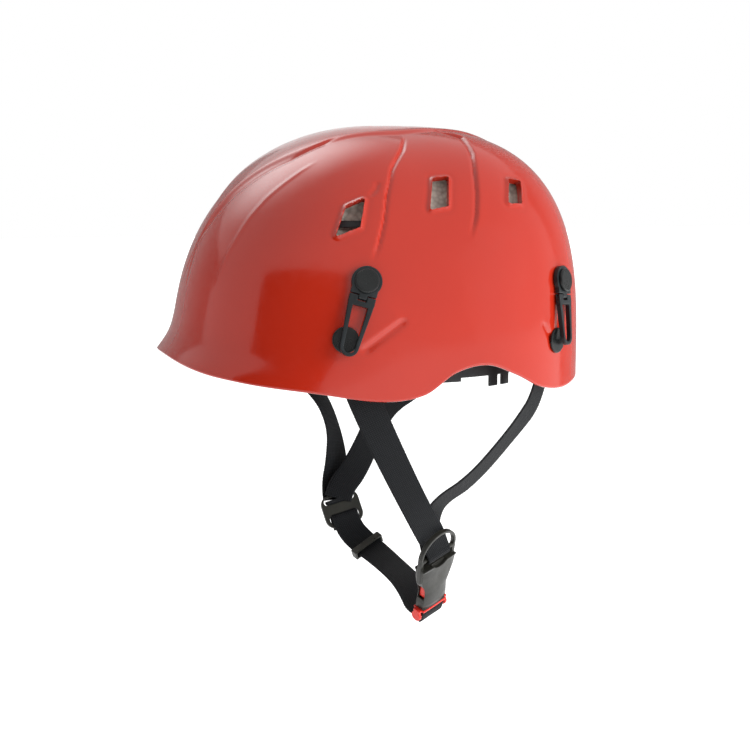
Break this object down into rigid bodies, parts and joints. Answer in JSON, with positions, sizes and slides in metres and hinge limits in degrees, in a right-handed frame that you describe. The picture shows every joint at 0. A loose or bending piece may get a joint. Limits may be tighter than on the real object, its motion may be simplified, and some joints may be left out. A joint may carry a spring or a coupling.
{
  "type": "climbing helmet",
  "caption": "Climbing helmet: vented hard shell over a foam liner, ratchet headband, headlamp clips and webbing chin strap with a side-release buckle.",
  "frame": {"origin": "middle of the wearer's head at the height of the headband", "axes": "front of the helmet towards -Y, wearer's left towards +X, crown towards +Z"},
  "size_m": [0.23, 0.276, 0.316],
  "materials": {
    "shell": "glossy moulded ABS",
    "foam": "expanded foam beads",
    "padding": "brushed knit over foam",
    "black_plastic": "satin moulded",
    "nylon": "natural moulded",
    "clip_plastic": "satin moulded",
    "rivet_plastic": "satin moulded",
    "buckle_plastic": "satin moulded",
    "red_plastic": "satin moulded",
    "webbing": "woven flat webbing"
  },
  "bodies": {
    "helmet": {"outer_shell": "shell", "foam_liner": "foam", "liner_band": "black_plastic", "crown_pad": "padding", "front_headband": "black_plastic", "brow_pad": "padding", "adjuster_housing": "black_plastic", "adjuster_cover": "black_plastic", "nape_pad": "padding", "chin_strap": "webbing", "buckle_female": "buckle_plastic", "bow_webbing_loop": "webbing", "strap_divider": "buckle_plastic", "strap_keeper": "buckle_plastic", "left_front_strap": "webbing", "left_rear_strap": "webbing", "right_front_strap": "webbing", "right_rear_strap": "webbing", "left_front_clip_base": "clip_plastic", "left_front_clip_rivet": "rivet_plastic", "left_front_strap_anchor": "rivet_plastic", "right_front_clip_base": "clip_plastic", "right_front_clip_rivet": "rivet_plastic", "right_front_strap_anchor": "rivet_plastic", "left_rear_clip_base": "clip_plastic", "left_rear_clip_rivet": "rivet_plastic", "left_rear_strap_anchor": "rivet_plastic", "right_rear_clip_base": "clip_plastic", "right_rear_clip_rivet": "rivet_plastic", "right_rear_strap_anchor": "rivet_plastic"},
    "adjuster_wheel": {"adjuster_pinion": "nylon", "adjuster_knob": "black_plastic"},
    "left_arm": {"left_adjuster_arm": "black_plastic"},
    "right_arm": {"right_adjuster_arm": "black_plastic"},
    "buckle_insert": {"buckle_male": "red_plastic", "male_webbing_loop": "webbing"},
    "front_latch": {"front_latch_arm": "red_plastic"},
    "rear_latch": {"rear_latch_arm": "red_plastic"},
    "left_front_clip": {"left_front_clip_loop": "clip_plastic"},
    "right_front_clip": {"right_front_clip_loop": "clip_plastic"},
    "left_rear_clip": {"left_rear_clip_loop": "clip_plastic"},
    "right_rear_clip": {"right_rear_clip_loop": "clip_plastic"}
  },
  "joints": [
    {"name": "left_front_clip_flex", "type": "hinge", "parent": "helmet", "child": "left_front_clip", "pos_m": [0.1075, -0.04308, 0.05436], "axis": [-0.2501, -0.9287, 0.2738], "range_deg": [0, 25], "stiffness_Nm_per_rad": 0.12, "springref_deg": -3.44},
    {"name": "right_front_clip_flex", "type": "hinge", "parent": "helmet", "child": "right_front_clip", "pos_m": [-0.1075, -0.04308, 0.05436], "axis": [-0.2501, 0.9287, -0.2738], "range_deg": [0, 25], "stiffness_Nm_per_rad": 0.12, "springref_deg": -3.44},
    {"name": "left_rear_clip_flex", "type": "hinge", "parent": "helmet", "child": "left_rear_clip", "pos_m": [0.08561, 0.09659, 0.04913], "axis": [0.6094, -0.7848, 0.1128], "range_deg": [0, 25], "stiffness_Nm_per_rad": 0.12, "springref_deg": -3.44},
    {"name": "right_rear_clip_flex", "type": "hinge", "parent": "helmet", "child": "right_rear_clip", "pos_m": [-0.08561, 0.09659, 0.04913], "axis": [0.6094, 0.7848, -0.1128], "range_deg": [0, 25], "stiffness_Nm_per_rad": 0.12, "springref_deg": -3.44},
    {"name": "adjuster_turn", "type": "hinge", "parent": "helmet", "child": "adjuster_wheel", "pos_m": [0, 0.103, 0.008], "axis": [0, 1, 0], "range_deg": [-90, 90]},
    {"name": "left_arm_slide", "type": "hinge", "parent": "helmet", "child": "left_arm", "pos_m": [0, 0.018, 0.008], "axis": [0, 0, 1], "range_deg": [-6.4, 6.4]},
    {"name": "right_arm_slide", "type": "hinge", "parent": "helmet", "child": "right_arm", "pos_m": [0, 0.018, 0.008], "axis": [0, 0, 1], "range_deg": [-6.4, 6.4]},
    {"name": "buckle_release", "type": "slide", "parent": "helmet", "child": "buckle_insert", "axis": [-0.45, 0.0623, -0.8908], "range_m": [0, 0.028], "deforming": ["chin_strap"]},
    {"name": "front_latch_squeeze", "type": "hinge", "parent": "buckle_insert", "child": "front_latch", "pos_m": [0.06599, 0.01183, -0.14983], "axis": [-0.7923, -0.4882, 0.3661], "range_deg": [0, 9]},
    {"name": "rear_latch_squeeze", "type": "hinge", "parent": "buckle_insert", "child": "rear_latch", "pos_m": [0.06179, 0.02072, -0.14709], "axis": [0.7923, 0.4882, -0.3661], "range_deg": [0, 9]}
  ],
  "couplings": [
    {"joint": "left_arm_slide", "follows": "adjuster_turn", "ratio": -0.070588},
    {"joint": "right_arm_slide", "follows": "adjuster_turn", "ratio": 0.070588},
    {"joint": "front_latch_squeeze", "follows": "buckle_release", "rad_per_m": 5.3},
    {"joint": "rear_latch_squeeze", "follows": "buckle_release", "rad_per_m": 5.3}
  ]
}
